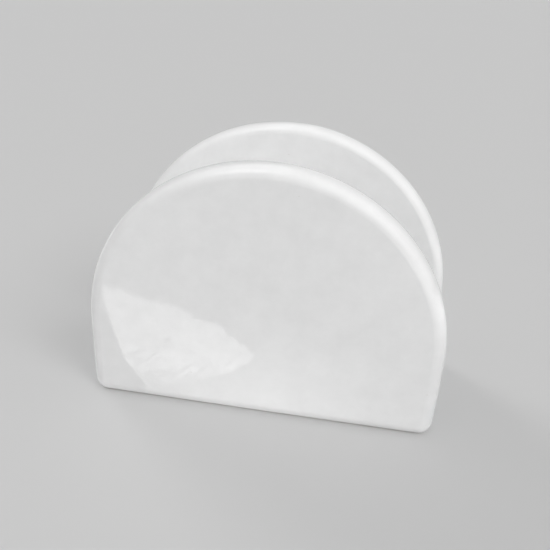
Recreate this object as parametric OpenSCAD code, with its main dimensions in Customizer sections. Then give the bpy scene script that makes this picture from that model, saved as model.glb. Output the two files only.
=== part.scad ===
// A napkin holder in white glazed porcelain. Two upright panels with arched tops
// are joined near the table by a low floor, and the napkins stand between them.
// The table is z = 0. X runs along the slot, and the front panel is towards -Y.

/* [Panels] */
// Width of each upright panel, which is twice the radius of its arched top
panel_w = 130; // [110:1:160]
// Height of the arch centre above the table, which is also the height of the sides
side_h = 32; // [20:1:60]
// Thickness of each panel, whose whole edge is a full round
panel_t = 9; // [7:0.5:11]
// Radius of the two bottom corners, seen from the front
corner_r = 6; // [6:0.5:14]
// Width of the flat foot ground under each panel
foot_w = 5; // [3:0.5:6]

/* [Napkin slot] */
// Clear gap between the two panels, where the napkins stand
slot_gap = 41; // [25:1:70]

/* [Floor] */
// Thickness of the floor, whose two ends are a full round
floor_t = 8.5; // [6:0.5:12]
// Height of the floor's underside above the table
under_gap = 1.5; // [1:0.1:2]
// Distance in from a panel's side edge to the floor's end
floor_inset = 10; // [9:0.5:20]

/* [Seams] */
// Radius of the hollow fillet that runs along and round the ends of each seam
seam_r = 5; // [2:0.5:5]

/* [Hidden] */
$fn = 128;

// Colour of the glaze
glaze = [0.95, 0.95, 0.94];
// How far a cut runs past what it cuts
overrun = 2;

// The full round on a panel's edge
rim_r = panel_t / 2;
// Height of the round that grinding the foot flat takes away
foot_cut = rim_r - sqrt(pow(rim_r, 2) - pow(foot_w / 2, 2));
// Radius of the arched top
arch_r = panel_w / 2;
// Distance from the middle of the slot to the middle of a panel
panel_y = slot_gap / 2 + rim_r;
// Centre of a bottom corner, seen from the front
corner_x = arch_r - corner_r;
corner_z = corner_r - foot_cut;
// Centre of the round along a panel's bottom edge
bottom_z = rim_r - foot_cut;

// The full round on the floor's ends, and where it is centred
end_r = floor_t / 2;
end_x = arch_r - floor_inset - end_r;
end_z = under_gap + end_r;
// Height of the floor's upper face
floor_top = under_gap + floor_t;

// Outline of the flat faces, which stop where the full round starts
module plate_outline() {
    difference() {
        translate([0, side_h])
            circle(r = arch_r - rim_r);
        translate([-arch_r, side_h - overrun - panel_w])
            square([panel_w, panel_w]);
    }
    translate([rim_r - arch_r, corner_z])
        square([2 * (arch_r - rim_r), side_h - corner_z]);
    translate([-corner_x, bottom_z])
        square([2 * corner_x, corner_z - bottom_z]);
}

// The full round over the arch and down the two sides
module arch_rim() {
    translate([0, 0, side_h])
        rotate([90, 0, 0])
            rotate_extrude(angle = 180)
                translate([arch_r - rim_r, 0])
                    circle(r = rim_r);
    for (side = [-1, 1])
        translate([side * (arch_r - rim_r), 0, corner_z])
            cylinder(r = rim_r, h = side_h - corner_z);
}

// Section of a bottom corner from its centre out to its rounded edge
module corner_section() {
    difference() {
        union() {
            translate([0, -rim_r])
                square([corner_r - rim_r, panel_t]);
            translate([corner_r - rim_r, 0])
                circle(r = rim_r);
        }
        translate([-rim_r - overrun, -rim_r - overrun])
            square([rim_r + overrun, panel_t + 2 * overrun]);
    }
}

// The full round along the bottom edge, and the two bottom corners
module bottom_rim() {
    translate([-corner_x, 0, bottom_z])
        rotate([0, 90, 0])
            cylinder(r = rim_r, h = 2 * corner_x);
    for (side = [-1, 1])
        translate([side * corner_x, 0, corner_z])
            rotate([90, 135 - side * 45, 0])
                rotate_extrude(angle = 90)
                    corner_section();
}

// A block that takes away all that lies lower than a level
module block_below(level) {
    reach = panel_y + rim_r + overrun;
    translate([-arch_r - overrun, -reach, level - arch_r])
        cube([panel_w + 2 * overrun, 2 * reach, arch_r]);
}

// A whole panel, cut flat at the table
module panel() {
    difference() {
        union() {
            rotate([90, 0, 0])
                linear_extrude(height = panel_t, center = true)
                    plate_outline();
            arch_rim();
            bottom_rim();
        }
        block_below(0);
    }
}

module panel_at(side) {
    translate([0, side * panel_y, 0])
        panel();
}

// The floor seen from the front, a bar with round ends
module floor_profile() {
    translate([-end_x, under_gap])
        square([2 * end_x, floor_t]);
    for (side = [-1, 1])
        translate([side * end_x, end_z])
            circle(r = end_r);
}

// Section of a seam fillet, out from the floor's surface along X and, along Y,
// from deep in the panel's round out into the slot
module seam_section() {
    difference() {
        translate([0, -rim_r])
            square([seam_r, seam_r + rim_r]);
        translate([seam_r, seam_r])
            circle(r = seam_r);
    }
}

// The fillet along the floor's upper face and round its two ends, at the rear panel
module seam_sweep() {
    translate([0, 0, floor_top])
        rotate([180, -90, 0])
            linear_extrude(height = 2 * end_x, center = true)
                seam_section();
    for (side = [-1, 1])
        translate([side * end_x, 0, end_z])
            rotate([90, side * 90, 0])
                rotate_extrude(angle = 180)
                    translate([end_r, 0])
                        seam_section();
}

// The seam fillet at the rear panel, cut level with the floor's underside
module seam_fillet() {
    difference() {
        translate([0, slot_gap / 2, 0])
            seam_sweep();
        panel_at(1);
        block_below(under_gap);
    }
}

module front_panel() {
    color(glaze)
        panel_at(-1);
}

module rear_panel() {
    color(glaze)
        panel_at(1);
}

module base_floor() {
    color(glaze)
        difference() {
            rotate([90, 0, 0])
                linear_extrude(height = 2 * panel_y, center = true)
                    floor_profile();
            panel_at(-1);
            panel_at(1);
        }
}

module front_seam_fillet() {
    color(glaze)
        mirror([0, 1, 0])
            seam_fillet();
}

module rear_seam_fillet() {
    color(glaze)
        seam_fillet();
}

front_panel();
rear_panel();
base_floor();
front_seam_fillet();
rear_seam_fillet();
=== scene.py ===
# %% [markdown]
# # A glazed porcelain napkin holder
# The real object is one fired body: two upright panels with arched tops and a
# low floor between them, all under one clear gloss glaze. Its whole look comes
# from three things: the full round on every edge, the soft fillets in the seams
# and the way a glassy white skin answers the light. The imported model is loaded
# first, because it gives each member's place and size, so that nothing here has
# to be fitted by eye.

# %% Load the frame
from math import cos, pi, radians, sin, sqrt

import bmesh
import bpy
from mathutils import Matrix, Vector, noise


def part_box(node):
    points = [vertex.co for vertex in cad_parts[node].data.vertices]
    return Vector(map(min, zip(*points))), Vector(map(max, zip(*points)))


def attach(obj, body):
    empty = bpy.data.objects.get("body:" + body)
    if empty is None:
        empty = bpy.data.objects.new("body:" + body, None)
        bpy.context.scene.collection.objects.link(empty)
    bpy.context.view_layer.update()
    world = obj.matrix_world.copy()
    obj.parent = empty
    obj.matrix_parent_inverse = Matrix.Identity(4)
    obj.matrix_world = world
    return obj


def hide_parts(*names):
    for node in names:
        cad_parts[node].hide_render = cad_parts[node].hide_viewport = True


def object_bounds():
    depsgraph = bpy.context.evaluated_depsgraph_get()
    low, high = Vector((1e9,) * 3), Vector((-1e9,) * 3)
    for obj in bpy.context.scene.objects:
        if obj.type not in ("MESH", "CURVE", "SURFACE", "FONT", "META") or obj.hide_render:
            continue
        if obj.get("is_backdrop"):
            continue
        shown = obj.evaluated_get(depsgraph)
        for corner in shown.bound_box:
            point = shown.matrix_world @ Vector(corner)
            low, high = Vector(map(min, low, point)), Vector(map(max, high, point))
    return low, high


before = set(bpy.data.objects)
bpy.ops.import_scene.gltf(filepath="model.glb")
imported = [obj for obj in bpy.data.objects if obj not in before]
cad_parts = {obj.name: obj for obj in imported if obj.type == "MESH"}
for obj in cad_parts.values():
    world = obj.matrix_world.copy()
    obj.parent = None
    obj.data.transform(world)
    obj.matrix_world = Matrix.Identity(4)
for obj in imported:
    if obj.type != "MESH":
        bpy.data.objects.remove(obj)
cad_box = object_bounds()
print("nodes in the frame:", sorted(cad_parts))

# %% [markdown]
# ## Sizes
# The scene is in metres, and a maker thinks in millimetres, so one constant
# turns one into the other. Each member's size is read from its box in the
# frame, and only what a box can't tell is written as a number. The foot is one
# such thing: a flat strip, ground into the round along a panel's lower edge.

# %% Sizes of the panels
MM = 0.001

panel_low, panel_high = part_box("rear_panel")
arch_r = (panel_high.x - panel_low.x) / 2
side_h = panel_high.z - arch_r
panel_t = panel_high.y - panel_low.y
panel_y = (panel_high.y + panel_low.y) / 2
slot_half = panel_low.y

# The height that grinding the foot flat takes off an even round of half the thickness
foot_w = 5 * MM
even_rim_r = panel_t / 2
foot_cut = even_rim_r - sqrt(even_rim_r ** 2 - (foot_w / 2) ** 2)

print(f"panel {2 * arch_r / MM:.1f} x {panel_high.z / MM:.1f} x {panel_t / MM:.1f} mm")
print(f"slot {2 * slot_half / MM:.1f} mm, the foot takes {foot_cut / MM:.2f} mm off the round")

# %% Sizes of the floor and the seams
floor_low, floor_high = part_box("base_floor")
floor_t = floor_high.z - floor_low.z
end_r = floor_t / 2
end_x = floor_high.x - end_r
end_z = floor_low.z + end_r
seam_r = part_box("rear_seam_fillet")[1].z - floor_high.z

print(f"floor {floor_t / MM:.1f} mm thick, seam fillet of {seam_r / MM:.1f} mm radius")

# %% [markdown]
# ## From a bmesh to a piece
# Each member is shaped as a bmesh and then turned into an object that takes its
# CAD node's place. Points that lie on each other are welded, all faces are
# turned outwards, and the faces are shaded smooth except over edges sharper
# than a set angle. A weighted normal modifier lets the big flat faces decide
# the shading where they run into a round, so that a flat stays flat in the
# reflections. Without it a glossy face looks like a pillow along its border.
# Bevel, spin and bisect hand back their points and faces in an order that can
# change from run to run, so all are put in order of place first, and each run
# gives the very same mesh.

# %% Make an object of a bmesh


def corners(item):
    """The places of a point, or of an edge's or a face's points, from the lowest up."""
    points = [item] if isinstance(item, bmesh.types.BMVert) else item.verts
    return sorted(point.co[:] for point in points)


def make_object(name, bm):
    for items in (bm.verts, bm.edges, bm.faces):
        order = {item: number for number, item in enumerate(sorted(items, key=corners))}
        items.sort(key=order.get)
    mesh = bpy.data.meshes.new(name)
    bm.to_mesh(mesh)
    bm.free()
    made = bpy.data.objects.new(name, mesh)
    bpy.context.scene.collection.objects.link(made)
    return made


print("points, edges and faces are sorted by place")

# %% Make it a piece of the holder
WELD = 0.002 * MM
SHARP_ANGLE = radians(30)
FLAT_FACE_WEIGHT = 80


def make_piece(name, bm):
    bmesh.ops.remove_doubles(bm, verts=bm.verts[:], dist=WELD)
    bmesh.ops.recalc_face_normals(bm, faces=bm.faces[:])
    for face in bm.faces:
        face.smooth = True
    for edge in bm.edges:
        edge.smooth = edge.calc_face_angle(0) < SHARP_ANGLE
    open_edges = sum(not edge.is_manifold for edge in bm.edges)
    piece = make_object(name, bm)
    weighted = piece.modifiers.new("flat_faces_lead", "WEIGHTED_NORMAL")
    weighted.weight = FLAT_FACE_WEIGHT
    weighted.keep_sharp = True
    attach(piece, "root")
    print(f"{name}: {len(piece.data.polygons)} faces, {open_edges} open edges")
    return piece


# %% Cut a bmesh off at a level
def cut_below(bm, level, dist):
    """Takes away all that lies below a level. Edges left open there stay open."""
    bmesh.ops.bisect_plane(
        bm, geom=bm.verts[:] + bm.edges[:] + bm.faces[:], dist=dist,
        plane_co=(0, 0, level), plane_no=(0, 0, -1), clear_outer=True)


def cut_flat(bm, level):
    """Cuts a closed bmesh off below a level and closes the cut with one flat face."""
    cut_below(bm, level, WELD / 10)
    rim = [edge for edge in bm.edges if edge.is_boundary]
    bmesh.ops.edgeloop_fill(bm, edges=rim)


print("points closer than", WELD / MM, "mm are welded")

# %% [markdown]
# ## The two panels
# A panel is a thick slab of porcelain with an arched top. Sponging and glazing
# leave its whole edge a full round, as wide as the slab is thick, and a little
# larger on the outside, which is easier to reach than the slot. Its sides lean in
# a little towards the foot, so that it draws from its mould. The shape could be
# swept along the outline, but it is quicker and more exact to draw the flat
# outline, give it its thickness, and bevel both borders. The two radii add up to
# the thickness, so the bevels meet and make the full round.

# %% Draw a panel's outline
ARCH_STEPS = 240
CORNER_STEPS = 14
SIDE_STEPS = 18
corner_r = 5 * MM
side_draw = 0.8 * MM


def panel_outline(bm):
    """Half a disc, pulled down to the foot, with two round corners and leaning sides."""
    upright = Matrix.Translation((0, 0, side_h)) @ Matrix.Rotation(pi / 2, 4, "X")
    bmesh.ops.create_circle(
        bm, cap_ends=True, radius=arch_r, segments=ARCH_STEPS, matrix=upright)
    cut_below(bm, side_h, WELD)
    springing = max(bm.edges, key=lambda edge: edge.calc_length())
    sides = bmesh.ops.extrude_edge_only(bm, edges=[springing])["geom"]
    feet = [item for item in sides if isinstance(item, bmesh.types.BMVert)]
    bmesh.ops.translate(bm, verts=feet, vec=(0, 0, -side_h - foot_cut))
    bmesh.ops.dissolve_edges(bm, edges=[springing])
    bmesh.ops.bevel(
        bm, geom=feet, offset=corner_r, offset_type="OFFSET", segments=CORNER_STEPS,
        profile=0.5, affect="VERTICES", clamp_overlap=False, material=-1)
    uprights = [
        edge for edge in bm.edges if edge.calc_length() > side_h / 2
        and abs(edge.verts[0].co.x - edge.verts[1].co.x) < WELD]
    bmesh.ops.subdivide_edges(bm, edges=uprights, cuts=SIDE_STEPS)
    for vert in bm.verts:
        below = max(0, (side_h - vert.co.z) / side_h)
        vert.co.x *= 1 - side_draw / arch_r * below ** 2


print(f"corners of {corner_r / MM} mm, sides leaning in by {side_draw / MM} mm")

# %% Give it thickness, round its edge and cut its foot
RIM_STEPS = 20
BORDER_ANGLE = radians(60)
outer_rim_r = 5 * MM


def make_panel(name, middle_y):
    bm = bmesh.new()
    panel_outline(bm)
    bmesh.ops.solidify(bm, geom=bm.faces[:], thickness=panel_t)
    low_y = min(vert.co.y for vert in bm.verts)
    bmesh.ops.translate(bm, verts=bm.verts[:], vec=(0, middle_y - panel_t / 2 - low_y, 0))
    for slot_side, radius in ((False, outer_rim_r), (True, panel_t - outer_rim_r)):
        border = [
            edge for edge in bm.edges if edge.calc_face_angle(0) > BORDER_ANGLE
            and all((abs(vert.co.y) < panel_y) == slot_side for vert in edge.verts)]
        bmesh.ops.bevel(
            bm, geom=border, offset=radius, offset_type="OFFSET", segments=RIM_STEPS,
            profile=0.5, affect="EDGES", clamp_overlap=False, material=-1)
    bmesh.ops.remove_doubles(bm, verts=bm.verts[:], dist=WELD)
    cut_flat(bm, 0)
    return make_piece(name, bm)


front_panel = make_panel("porcelain_front_panel", -panel_y)
rear_panel = make_panel("porcelain_rear_panel", panel_y)
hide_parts("front_panel")
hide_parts("rear_panel")

# %% [markdown]
# ## The floor
# The floor is a low bar that carries the napkins. Its two free ends are a full
# round like the panels' edges, so it is made the same way: a bar whose four
# edges across the slot are bevelled by half its thickness. It runs a little way
# into each panel, where clay was pressed into clay, so that no gap can show.

# %% Make the floor
BURY = 2 * MM


def make_floor(name):
    bm = bmesh.new()
    size = Matrix.Diagonal((2 * (end_x + end_r), 2 * (slot_half + BURY), floor_t, 1))
    bmesh.ops.create_cube(bm, size=1, matrix=Matrix.Translation((0, 0, end_z)) @ size)
    across = [
        edge for edge in bm.edges
        if abs(edge.verts[0].co.y - edge.verts[1].co.y) > slot_half]
    bmesh.ops.bevel(
        bm, geom=across, offset=end_r, offset_type="OFFSET", segments=RIM_STEPS,
        profile=0.5, affect="EDGES", clamp_overlap=False, material=-1)
    return make_piece(name, bm)


base_floor = make_floor("porcelain_floor")
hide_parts("base_floor")

# %% [markdown]
# ## The seam fillets
# Where floor and panel meet, a maker runs a wet finger along the seam, and the
# glaze rounds it further. The hollow fillet that this leaves goes along the top
# of the floor and round its ends. A section is drawn once by spinning one point
# through a quarter turn. It is pulled along half the floor and then spun round
# the floor's end, and a mirror gives the other half.

# %% Draw a fillet's section
SEAM_STEPS = 24


def seam_section(bm):
    """A hollow quarter round at the rear panel, closed by a border that lies in the clay."""
    centre = Vector((0, slot_half - seam_r, floor_high.z + seam_r))
    start = bm.verts.new(centre - Vector((0, 0, seam_r)))
    bmesh.ops.spin(
        bm, geom=[start], cent=centre, axis=(1, 0, 0), angle=pi / 2, steps=SEAM_STEPS)
    arc_end = max(bm.verts, key=lambda vert: vert.co.z)
    buried = [
        bm.verts.new(arc_end.co + Vector((0, BURY, 0))),
        bm.verts.new((0, slot_half + BURY, floor_high.z - BURY)),
        bm.verts.new(start.co - Vector((0, 0, BURY)))]
    for first, second in zip([arc_end] + buried, buried + [start]):
        bm.edges.new((first, second))
    return bmesh.ops.edgenet_fill(bm, edges=bm.edges[:])["faces"]


print(f"a fillet has {SEAM_STEPS} steps and reaches {BURY / MM} mm into the clay")


# %% Sweep it along the seam
def make_seam(name, side):
    bm = bmesh.new()
    section = seam_section(bm)
    along = bmesh.ops.extrude_face_region(bm, geom=section)["geom"]
    moved = [item for item in along if isinstance(item, bmesh.types.BMVert)]
    bmesh.ops.translate(bm, verts=moved, vec=(end_x, 0, 0))
    tip = [item for item in along if isinstance(item, bmesh.types.BMFace)]
    bmesh.ops.spin(
        bm, geom=tip, cent=(end_x, 0, end_z), axis=(0, 1, 0), angle=pi,
        steps=2 * SEAM_STEPS)
    # The faces at the middle and where the turn starts would lie inside the fillet.
    at_middle = [
        face for face in bm.faces if all(abs(vert.co.x) < WELD for vert in face.verts)]
    at_tip = [face for face in tip if face.is_valid]
    bmesh.ops.delete(bm, geom=at_middle + at_tip, context="FACES_ONLY")
    bmesh.ops.mirror(
        bm, geom=bm.verts[:] + bm.edges[:] + bm.faces[:], axis="X", merge_dist=WELD)
    cut_flat(bm, floor_low.z)
    if side < 0:
        bmesh.ops.scale(bm, vec=(1, -1, 1), verts=bm.verts[:])
    return make_piece(name, bm)


front_seam = make_seam("glazed_front_seam", -1)
rear_seam = make_seam("glazed_rear_seam", 1)
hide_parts("front_seam_fillet")
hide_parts("rear_seam_fillet")

# %% [markdown]
# ## Colours and nodes
# Colours are picked as sRGB hex, as in any paint program, and a node's sockets
# want linear light, so one function converts them. Another adds a node with its
# settings and links in one line, which keeps a long node tree readable. A third
# starts a material that has no nodes yet. Every pattern is laid out on Object
# coordinates, which are the real metres of the piece, so a pattern has a real
# size and runs on over the seams from one piece to the next.

# %% Helpers for materials


def linear(hex_colour):
    """Turns an sRGB hex colour into linear light, with full alpha."""
    parts = [int(hex_colour[i:i + 2], 16) / 255 for i in (1, 3, 5)]
    return tuple(c / 12.92 if c <= 0.04045 else ((c + 0.055) / 1.055) ** 2.4 for c in parts) + (1,)


def add_node(tree, kind, settings=(), **inputs):
    """Adds a node. Settings are its own properties, and inputs are values or sockets to link."""
    node = tree.nodes.new(kind)
    for key, value in dict(settings).items():
        setattr(node, key, value)
    for key, value in inputs.items():
        name = key.replace("_", " ")
        socket = node.inputs[int(key[1:])] if key[1:].isdigit() else node.inputs[name]
        if isinstance(value, bpy.types.NodeSocket):
            tree.links.new(value, socket)
        else:
            socket.default_value = value
    return node


def start_material(name):
    """A material without a shader, its node tree, and the socket that gives a point's place."""
    material = bpy.data.materials.new(name)
    material.use_nodes = True
    material.node_tree.nodes.clear()
    place = add_node(material.node_tree, "ShaderNodeTexCoord").outputs["Object"]
    return material, material.node_tree, place


print("porcelain white is", [round(c, 3) for c in linear("#EBEBEB")])

# %% [markdown]
# ## The glaze
# Porcelain is a dense white body, fired glassy, under a clear gloss glaze about
# 0.3 mm thick. The eye reads it by a smooth bright reflection over a milky
# white, by faint waves where the glaze flowed, and by a few pinholes. Where the
# glaze lies thick, in the seams, it turns a little cooler. The foot is wiped
# before firing, so there the bare body is dull and a touch warmer. Two shaders
# could be mixed, body under glass, but one Principled shader does all this: the
# differences go into its colour, roughness and normal.

# %% Cloud the white of the body
# A noise node's values lie mostly between these two, so they are stretched over the range.
NOISE_LOW, NOISE_HIGH = 0.3, 0.7
mottle_size = 10 * MM

glaze, glaze_tree, place = start_material("glazed_porcelain")
cloudy = add_node(
    glaze_tree, "ShaderNodeTexNoise", Vector=place, Scale=1 / mottle_size, Detail=5.0,
    Roughness=0.65).outputs["Fac"]
mottle = add_node(
    glaze_tree, "ShaderNodeMapRange", Value=cloudy, From_Min=NOISE_LOW,
    From_Max=NOISE_HIGH).outputs["Result"]
white = add_node(
    glaze_tree, "ShaderNodeMix", {"data_type": "RGBA"}, Factor=mottle,
    A=linear("#E8E8E8"), B=linear("#EEEEEE")).outputs["Result"]
print("the white is mottled every", mottle_size / MM, "mm")

# %% Pool the glaze in the seams
# Both seams run along X, so a point's distance from one is measured over Y and Z.
pool_full = 3 * MM
pool_reach = 9 * MM

mirrored = add_node(
    glaze_tree, "ShaderNodeVectorMath", {"operation": "ABSOLUTE"}, _0=place).outputs[0]
to_seam = add_node(
    glaze_tree, "ShaderNodeVectorMath", {"operation": "SUBTRACT"}, _0=mirrored,
    _1=(0, slot_half, floor_high.z)).outputs[0]
across_seam = add_node(
    glaze_tree, "ShaderNodeVectorMath", {"operation": "MULTIPLY"}, _0=to_seam,
    _1=(0, 1, 1)).outputs[0]
from_seam = add_node(
    glaze_tree, "ShaderNodeVectorMath", {"operation": "LENGTH"},
    _0=across_seam).outputs["Value"]
pooled = add_node(
    glaze_tree, "ShaderNodeMapRange", Value=from_seam, From_Min=pool_full,
    From_Max=pool_reach, To_Min=1.0, To_Max=0.0).outputs["Result"]
pooled_white = add_node(
    glaze_tree, "ShaderNodeMix", {"data_type": "RGBA"}, Factor=pooled, A=white,
    B=linear("#E1E6E8")).outputs["Result"]
print("the glaze pools within", pool_reach / MM, "mm of a seam")

# %% Prick it with a few pinholes
# Each cell of this pattern has one point, which is where its pinhole sits.
pinhole_gap = 12 * MM
pinhole_r = 0.16 * MM
pinhole_core_r = 0.08 * MM

to_pinhole = add_node(
    glaze_tree, "ShaderNodeTexVoronoi", Vector=place, Scale=1 / pinhole_gap).outputs["Distance"]
pinhole = add_node(
    glaze_tree, "ShaderNodeMapRange", Value=to_pinhole, From_Min=pinhole_core_r / pinhole_gap,
    From_Max=pinhole_r / pinhole_gap, To_Min=1.0, To_Max=0.0).outputs["Result"]
pricked_white = add_node(
    glaze_tree, "ShaderNodeMix", {"data_type": "RGBA"}, Factor=pinhole, A=pooled_white,
    B=linear("#C2BDB4")).outputs["Result"]
print("pinholes", 2 * pinhole_r / MM, "mm wide, about", pinhole_gap / MM, "mm apart")

# %% Wipe the feet bare
# The sponge leaves the glaze's border ragged, so noise is added to the height.
glaze_line_size = 3 * MM
glaze_line_depth = 0.5 * MM
bare_h = 0.5 * MM
glazed_h = 0.62 * MM
gloss_roughness = 0.06
bare_roughness = 0.6

height = add_node(glaze_tree, "ShaderNodeSeparateXYZ", Vector=place).outputs["Z"]
ragged = add_node(
    glaze_tree, "ShaderNodeTexNoise", Vector=place, Scale=1 / glaze_line_size,
    Detail=2.0).outputs["Fac"]
ragged_height = add_node(
    glaze_tree, "ShaderNodeMath", {"operation": "MULTIPLY_ADD"}, _0=ragged,
    _1=glaze_line_depth, _2=height).outputs[0]
bare = add_node(
    glaze_tree, "ShaderNodeMapRange", Value=ragged_height, From_Min=bare_h,
    From_Max=glazed_h, To_Min=1.0, To_Max=0.0).outputs["Result"]
colour = add_node(
    glaze_tree, "ShaderNodeMix", {"data_type": "RGBA"}, Factor=bare, A=pricked_white,
    B=linear("#E2DFD8")).outputs["Result"]
dullness = add_node(
    glaze_tree, "ShaderNodeMapRange", Value=bare, To_Min=gloss_roughness,
    To_Max=bare_roughness).outputs["Result"]
print("bare up to about", bare_h / MM, "mm above the table")

# %% Let it flow in faint waves
# The slow waves bend the reflections a little, and the fine peel only softens them.
wave_size = 26 * MM
wave_depth = 0.05 * MM
peel_size = 2.2 * MM
peel_depth = 0.0012 * MM

wave = add_node(
    glaze_tree, "ShaderNodeTexNoise", Vector=place, Scale=1 / wave_size, Detail=1.5,
    Roughness=0.4).outputs["Fac"]
peel = add_node(
    glaze_tree, "ShaderNodeTexNoise", Vector=place, Scale=1 / peel_size,
    Detail=1.0).outputs["Fac"]
waved = add_node(
    glaze_tree, "ShaderNodeBump", Strength=1.0, Distance=wave_depth,
    Height=wave).outputs["Normal"]
peeled = add_node(
    glaze_tree, "ShaderNodeBump", Strength=1.0, Distance=peel_depth, Height=peel,
    Normal=waved).outputs["Normal"]
print("glaze waves are", wave_size / MM, "mm apart")

# %% Put the glaze on
# A clear glaze is a glass, so it bends light as window glass does.
glaze_ior = 1.5

shader = add_node(
    glaze_tree, "ShaderNodeBsdfPrincipled", Base_Color=colour, Roughness=dullness,
    IOR=glaze_ior, Normal=peeled)
add_node(glaze_tree, "ShaderNodeOutputMaterial", Surface=shader.outputs["BSDF"])
for piece in (front_panel, rear_panel, base_floor, front_seam, rear_seam):
    piece.data.materials.append(glaze)
    print(piece.name, "is glazed")

# %% [markdown]
# ## The camera
# The camera stands where the photographer's did: a little to the right, looking
# down by about 27 degrees, from close by, and rolled by 3 degrees. A turned
# camera is easiest to build from its three axes: back, right and up.

# %% Place the camera
azimuth = radians(8.14)
elevation = radians(26.894)
roll = radians(3.303)
target = Vector((-0.502 * MM, 0, 43.739 * MM))
distance = 293.545 * MM

back = Vector((sin(azimuth) * cos(elevation), -cos(azimuth) * cos(elevation), sin(elevation)))
right = Vector((cos(azimuth), sin(azimuth), 0))
turn = Matrix((right, back.cross(right), back)).transposed() @ Matrix.Rotation(roll, 3, "Z")

camera = bpy.data.objects.new("camera", bpy.data.cameras.new("camera"))
bpy.context.scene.collection.objects.link(camera)
camera.matrix_world = Matrix.Translation(target + back * distance) @ turn.to_4x4()
camera.data.sensor_width = 36
camera.data.lens = 50.08
camera.data.clip_start = 10 * MM
camera.data.clip_end = 20
bpy.context.scene.camera = camera
print("camera at", [round(c / MM) for c in camera.location], "mm")

# %% [markdown]
# ## The table
# A glossy white object shows its surroundings more than its own colour, so the
# surroundings matter as much as the glaze. The body's own white and what the
# gloss mirrors are lit apart from each other, as a photographer does with lamps,
# a light tent and cards, so that each can be set without upsetting the other.
# The table itself is a wide matt sheet, pale enough to throw light up at the
# holder and dark enough to set off its outline.

# %% Helpers for the stage


def stage_piece(name, bm, material):
    piece = make_object(name, bm)
    piece.data.materials.append(material)
    piece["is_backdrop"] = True
    print("on the stage:", name)
    return piece


def sheet(width, height):
    """A level square sheet round the origin."""
    bm = bmesh.new()
    bmesh.ops.create_grid(
        bm, x_segments=1, y_segments=1, size=width / 2,
        matrix=Matrix.Translation((0, 0, height)))
    return bm


# %% Lay the table
table_w = 8
table_z = -0.1 * MM

matt_sheet = bpy.data.materials.new("matt_pale_sheet")
matt_sheet.use_nodes = True
shader = matt_sheet.node_tree.nodes["Principled BSDF"]
shader.inputs["Base Color"].default_value = linear("#CECECE")
shader.inputs["Roughness"].default_value = 0.9
shader.inputs["Specular IOR Level"].default_value = 0
stage_piece("table", sheet(table_w, table_z), matt_sheet)

# %% [markdown]
# ## Light for the white of the body
# The body scatters light from all sides, and its form shows in slow changes of
# grey. An even glow from the world fills the shadows, and three wide soft suns
# shape the rest. Lamps near the holder could do it, but they would leave hot
# spots on the table, and a sun has no place of its own. The gloss sees none of
# this light. What the camera and the gloss see of the world is a plain backdrop.

# %% Fill the room with an even glow
fill_strength = 0.58

world = bpy.data.worlds.new("studio")
bpy.context.scene.world = world
world.use_nodes = True
world_tree = world.node_tree
world_tree.nodes.clear()
rays = add_node(world_tree, "ShaderNodeLightPath").outputs
seen = rays["Is Camera Ray"]
for ray in ("Is Glossy Ray", "Is Transmission Ray"):
    seen = add_node(
        world_tree, "ShaderNodeMath", {"operation": "MAXIMUM"}, _0=seen,
        _1=rays[ray]).outputs[0]
fill = add_node(
    world_tree, "ShaderNodeBackground", Color=(1, 1, 1, 1), Strength=fill_strength).outputs[0]
backdrop = add_node(
    world_tree, "ShaderNodeBackground", Color=linear("#CFCFCF"), Strength=1.0).outputs[0]
both = add_node(world_tree, "ShaderNodeMixShader", _0=seen, _1=fill, _2=backdrop).outputs[0]
add_node(world_tree, "ShaderNodeOutputWorld", Surface=both)
print("fill of strength", fill_strength)

# %% Add three soft suns
sun_angle = radians(30)


def direction(around, above):
    """Unit vector from the holder, by degrees from the front to the right and degrees up."""
    a, e = radians(around), radians(above)
    return Vector((sin(a) * cos(e), -cos(a) * cos(e), sin(e)))


def soft_light(name, around, above, energy):
    lamp = bpy.data.lights.new(name, "SUN")
    lamp.energy = energy
    lamp.angle = sun_angle
    light = bpy.data.objects.new(name, lamp)
    bpy.context.scene.collection.objects.link(light)
    towards = direction(around, above)
    facing = towards.to_track_quat("Z", "Y").to_matrix().to_4x4()
    light.matrix_world = Matrix.Translation(towards) @ facing
    light.visible_glossy = False
    print(f"{name}: {around} degrees round, {above} up, strength {energy}")


soft_light("key_front", around=10, above=29, energy=0.53)
soft_light("top_right", around=52, above=42, energy=0.78)
soft_light("back_left", around=230, above=8, energy=2.15)

# %% [markdown]
# ## The light tent in the gloss
# The rims mirror the room above the table: the pale cloth of a light tent, which
# is brighter above and to the right and has a few brighter and darker places. It
# is a half sphere of glowing cloth that only the gloss sees. A picture of a room
# could do it too, but a formula needs no file, and each place in it can be set
# by itself: how far round and up it lies, where it is full, where it ends, and
# the glow that it adds.

# %% A glow that only the gloss sees


def glossy_only(piece):
    piece.visible_camera = False
    piece.visible_diffuse = False
    piece.visible_transmission = False
    piece.visible_volume_scatter = False
    piece.visible_shadow = False


def glow_material(name, strength_from, see_through=True):
    """A glow, whose strength a function makes in the tree. What lies behind can show through."""
    material, tree, place = start_material(name)
    shader = add_node(tree, "ShaderNodeEmission", Strength=strength_from(tree, place)).outputs[0]
    if see_through:
        clear = add_node(tree, "ShaderNodeBsdfTransparent").outputs[0]
        shader = add_node(tree, "ShaderNodeAddShader", _0=shader, _1=clear).outputs[0]
    add_node(tree, "ShaderNodeOutputMaterial", Surface=shader)
    print("glowing material:", name)
    return material


# %% Raise the tent
TENT_STEPS = 48
tent_r = 1.5
tent_level = 1.41
tent_pull = Vector((0.76, 0.45, 1.52))
tent_places = [
    # degrees round and up, degrees to where it is full and where it ends, and its glow
    (61, 26, 10, 59, 1.24),
    (227, 27, 14, 49, -2.28),
    (132, 20, 14, 81, -1.89),
    (331, 51, 7, 15, 1.87),
    (293, 60, 5, 50, 1.08)]


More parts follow.
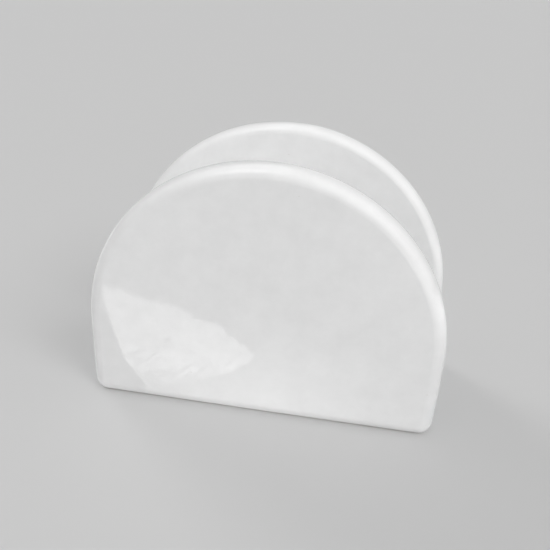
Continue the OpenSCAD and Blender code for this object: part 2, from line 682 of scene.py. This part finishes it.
def tent_glow(tree, place):
    towards = add_node(
        tree, "ShaderNodeVectorMath", {"operation": "NORMALIZE"}, _0=place).outputs[0]
    pulled = add_node(
        tree, "ShaderNodeVectorMath", {"operation": "DOT_PRODUCT"}, _0=towards,
        _1=tuple(tent_pull)).outputs["Value"]
    glow = add_node(
        tree, "ShaderNodeMath", {"operation": "ADD"}, _0=pulled, _1=tent_level).outputs[0]
    for around, above, full, end, strength in tent_places:
        nearness = add_node(
            tree, "ShaderNodeVectorMath", {"operation": "DOT_PRODUCT"}, _0=towards,
            _1=tuple(direction(around, above))).outputs["Value"]
        added = add_node(
            tree, "ShaderNodeMapRange", {"interpolation_type": "SMOOTHSTEP"}, Value=nearness,
            From_Min=cos(radians(end)), From_Max=cos(radians(full)),
            To_Max=strength).outputs["Result"]
        glow = add_node(
            tree, "ShaderNodeMath", {"operation": "ADD"}, _0=glow, _1=added).outputs[0]
    return add_node(
        tree, "ShaderNodeMath", {"operation": "MAXIMUM"}, _0=glow, _1=0.0).outputs[0]


bm = bmesh.new()
bmesh.ops.create_uvsphere(
    bm, u_segments=TENT_STEPS, v_segments=TENT_STEPS // 2, radius=tent_r)
cut_below(bm, 0, WELD)
tent = stage_piece("light_tent", bm, glow_material("tent_cloth", tent_glow, see_through=False))
glossy_only(tent)

# %% [markdown]
# ## The table in the gloss
# The flat faces stand upright, so to a viewer who looks down on them they mirror
# the table in front. Two soft glows are laid there for the gloss alone. One is
# close in front and brightens the lower edge, and it fades towards the foot, so
# that the line where the holder meets the table stays dark. The other lies far
# out to the right and gives the right ends of the rims their light. Both are
# drawn by formula on one clear sheet, because cards would show their borders.

# %% Draw the glow in front
front_glow_middle = (-2 * MM, -30 * MM, 0)
front_glow_size = (43 * MM, 45 * MM, MM)
front_glow_strength = 2.4
foot_share = 0.3
foot_glow_y = -28.5 * MM
full_glow_y = -35 * MM


def front_glow(tree, place):
    """A soft oval: the glow falls off as exp(-r * r), with r = 1 at the given size."""
    from_middle = add_node(
        tree, "ShaderNodeVectorMath", {"operation": "SUBTRACT"}, _0=place,
        _1=front_glow_middle).outputs[0]
    scaled = add_node(
        tree, "ShaderNodeVectorMath", {"operation": "DIVIDE"}, _0=from_middle,
        _1=front_glow_size).outputs[0]
    square = add_node(
        tree, "ShaderNodeVectorMath", {"operation": "DOT_PRODUCT"}, _0=scaled,
        _1=scaled).outputs["Value"]
    power = add_node(
        tree, "ShaderNodeMath", {"operation": "MULTIPLY"}, _0=square, _1=-1.0).outputs[0]
    falloff = add_node(tree, "ShaderNodeMath", {"operation": "EXPONENT"}, _0=power).outputs[0]
    depth = add_node(tree, "ShaderNodeSeparateXYZ", Vector=place).outputs["Y"]
    out_from_foot = add_node(
        tree, "ShaderNodeMapRange", {"interpolation_type": "SMOOTHSTEP"}, Value=depth,
        From_Min=foot_glow_y, From_Max=full_glow_y, To_Min=foot_share * front_glow_strength,
        To_Max=front_glow_strength).outputs["Result"]
    return add_node(
        tree, "ShaderNodeMath", {"operation": "MULTIPLY"}, _0=falloff,
        _1=out_from_foot).outputs[0]


print("front glow of strength", front_glow_strength)

# %% Draw the glow to the right
right_glow_around = 62
right_glow_full, right_glow_end = 5, 65
right_glow_from, right_glow_to = 60 * MM, 320 * MM
right_glow_strength = 2.6


def right_glow(tree, place):
    """Grows with the distance from the holder, in a wide fan to the right."""
    away = add_node(
        tree, "ShaderNodeVectorMath", {"operation": "LENGTH"}, _0=place).outputs["Value"]
    far = add_node(
        tree, "ShaderNodeMapRange", {"interpolation_type": "SMOOTHSTEP"}, Value=away,
        From_Min=right_glow_from, From_Max=right_glow_to,
        To_Max=right_glow_strength).outputs["Result"]
    towards = add_node(
        tree, "ShaderNodeVectorMath", {"operation": "NORMALIZE"}, _0=place).outputs[0]
    across = add_node(
        tree, "ShaderNodeVectorMath", {"operation": "DOT_PRODUCT"}, _0=towards,
        _1=tuple(direction(right_glow_around, 0))).outputs["Value"]
    fan = add_node(
        tree, "ShaderNodeMapRange", {"interpolation_type": "SMOOTHSTEP"}, Value=across,
        From_Min=cos(radians(right_glow_end)),
        From_Max=cos(radians(right_glow_full))).outputs["Result"]
    return add_node(
        tree, "ShaderNodeMath", {"operation": "MULTIPLY"}, _0=far, _1=fan).outputs[0]


print("right glow of strength", right_glow_strength)

# %% Lay both on the table
sheen_w = 2.4
sheen_z = -0.05 * MM


def table_glow(tree, place):
    return add_node(
        tree, "ShaderNodeMath", {"operation": "ADD"}, _0=front_glow(tree, place),
        _1=right_glow(tree, place)).outputs[0]


table_sheen = stage_piece(
    "table_sheen", sheet(sheen_w, sheen_z), glow_material("table_sheen", table_glow))
glossy_only(table_sheen)

# %% [markdown]
# ## The window in the gloss
# The lower left of the front panel mirrors a window: an even bright patch with a
# ragged upper border, which breaks up into slanting streaks lower down, and a
# dark side to its left. It could be painted into the glaze, but it is laid on
# the table where the panel sees it, so that it moves, bends and fades as a
# reflection does. A dark card beside it hides the table's glow there.

# %% Outline the window's patch and the dark card
# Corners in millimetres on the table, x to the right and y away from the viewer.
patch_outline = [
    (-94, -112), (-72, -105), (-48, -98), (-29, -87), (-9, -71), (-9, -64), (-15, -54),
    (-28, -44), (-46, -37), (-61, -54), (-80, -86)]
dark_outline = [
    (-94, -112), (-80, -86), (-61, -54), (-46, -37), (-44, -31), (-70, -31), (-112, -80),
    (-130, -112)]
print("patch of", len(patch_outline), "corners, dark card of", len(dark_outline))

# %% Cut a flat card with a ragged far border
# The border that the panel shows uppermost lies farthest from the holder. Only
# that one is shaken, by a noise of fixed seed, so that each run cuts it alike.
BORDER_CUTS = 19
ragged_size = 3 * MM
ragged_depth = 4.5 * MM
ragged_in_front_of = -70 * MM
ragged_right_of = -92 * MM
ragged_softness, ragged_step, ragged_layers = 0.8, 2.0, 3


def flat_card(outline, height, ragged):
    bm = bmesh.new()
    corners = [bm.verts.new((x * MM, y * MM, height)) for x, y in outline]
    border = [bm.edges.new(pair) for pair in zip(corners, corners[1:] + corners[:1])]
    if ragged:
        bmesh.ops.subdivide_edges(bm, edges=border, cuts=BORDER_CUTS)
        for vert in bm.verts:
            if vert.co.y < ragged_in_front_of and vert.co.x > ragged_right_of:
                vert.co.y += ragged_depth * noise.fractal(
                    vert.co / ragged_size, ragged_softness, ragged_step, ragged_layers)
    bmesh.ops.triangle_fill(bm, edges=bm.edges[:], use_beauty=True)
    return bm


print("the ragged border goes in and out by about", ragged_depth / MM, "mm")

# %% Light the patch in streaks
# A stretched, turned noise shifts the line where the patch fades towards the
# holder, which draws the streaks, and a coarser one clouds the whole patch.
patch_strength = 1.95
faded_strength = 0.3
full_y, faded_y = 11 * MM, 19 * MM
streak_turn = radians(23)
streak_w, streak_l = 2.6 * MM, 13 * MM
streak_reach = 130 * MM
cloud_size = 9 * MM
cloud_low, cloud_high = 0.7, 1.3


def patch_glow(tree, place):
    turned = add_node(
        tree, "ShaderNodeMapping", {"vector_type": "TEXTURE"}, Vector=place,
        Rotation=(0, 0, streak_turn), Scale=(streak_w, streak_l, 1)).outputs[0]
    streaks = add_node(
        tree, "ShaderNodeTexNoise", Vector=turned, Scale=1.0, Detail=3.0,
        Roughness=0.6).outputs["Fac"]
    depth = add_node(tree, "ShaderNodeSeparateXYZ", Vector=place).outputs["Y"]
    streaked_depth = add_node(
        tree, "ShaderNodeMath", {"operation": "MULTIPLY_ADD"}, _0=streaks, _1=streak_reach,
        _2=depth).outputs[0]
    even = add_node(
        tree, "ShaderNodeMapRange", {"interpolation_type": "SMOOTHSTEP"},
        Value=streaked_depth, From_Min=faded_y, From_Max=full_y, To_Min=faded_strength,
        To_Max=patch_strength).outputs["Result"]
    clouds = add_node(
        tree, "ShaderNodeTexNoise", Vector=place, Scale=1 / cloud_size, Detail=3.0,
        Roughness=0.6).outputs["Fac"]
    cloudy = add_node(
        tree, "ShaderNodeMapRange", Value=clouds, From_Min=NOISE_LOW, From_Max=NOISE_HIGH,
        To_Min=cloud_low, To_Max=cloud_high).outputs["Result"]
    return add_node(
        tree, "ShaderNodeMath", {"operation": "MULTIPLY"}, _0=even, _1=cloudy).outputs[0]


print("patch of strength", patch_strength, "with streaks", streak_w / MM, "mm wide")

# %% Lay the patch over the dark card
patch_z = -0.03 * MM
dark_z = -0.04 * MM


def no_glow(tree, place):
    return 0.0


window_patch = stage_piece(
    "window_patch", flat_card(patch_outline, patch_z, True),
    glow_material("window_patch", patch_glow))
dark_card = stage_piece(
    "dark_card", flat_card(dark_outline, dark_z, False),
    glow_material("dark_card", no_glow, see_through=False))
for piece in (window_patch, dark_card):
    glossy_only(piece)

# %% [markdown]
# ## Measure the size and finish
# The dressed holder has to stay inside the imported one's box, so both boxes are
# measured and printed. The plain Standard view shows the whites
# as they are lit, where a film-like one would grey them.

# %% Measure the size and finish
bpy.context.scene.view_settings.view_transform = "Standard"
new_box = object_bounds()
for label, box in (("CAD", cad_box), ("visual", new_box)):
    print(label, "box from and to, in mm:", [[round(c / MM, 2) for c in corner] for corner in box])
